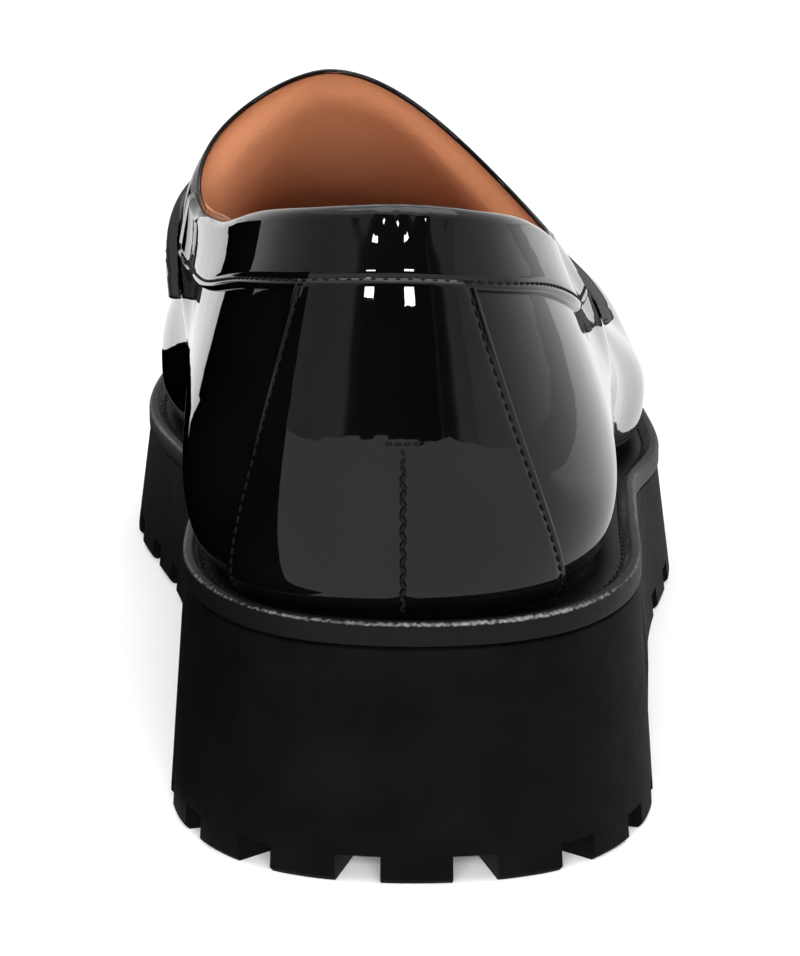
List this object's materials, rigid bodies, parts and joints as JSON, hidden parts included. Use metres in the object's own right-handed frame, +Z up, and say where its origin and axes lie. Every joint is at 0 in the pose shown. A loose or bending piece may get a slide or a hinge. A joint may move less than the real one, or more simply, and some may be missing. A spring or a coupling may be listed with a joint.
{
  "type": "loafer",
  "caption": "Right-foot slip-on loafer: glossy black upper with tan lining, saddle strap, collar band and back panel, on a welted, chunky lug sole.",
  "frame": {"origin": "on the floor, at the middle of the sole's outer box in plan", "axes": "+Y towards the toe, +X towards the outer (lateral) side, +Z up"},
  "size_m": [0.0988, 0.2744, 0.1043],
  "materials": {
    "sole_rubber": "matte moulded black rubber with a fine grain",
    "welt_strip": "semi-matte dark grey strip with a milled edge and stitches",
    "patent_leather": "high-gloss black patent leather",
    "tan_lining": "smooth matte tan lining leather"
  },
  "bodies": {
    "root": {"lug_sole": "sole_rubber", "welt": "welt_strip", "insole": "tan_lining", "upper": "patent_leather", "collar_band": "patent_leather", "heel_counter": "patent_leather", "apron": "patent_leather", "saddle_strap": "patent_leather"}
  },
  "joints": []
}
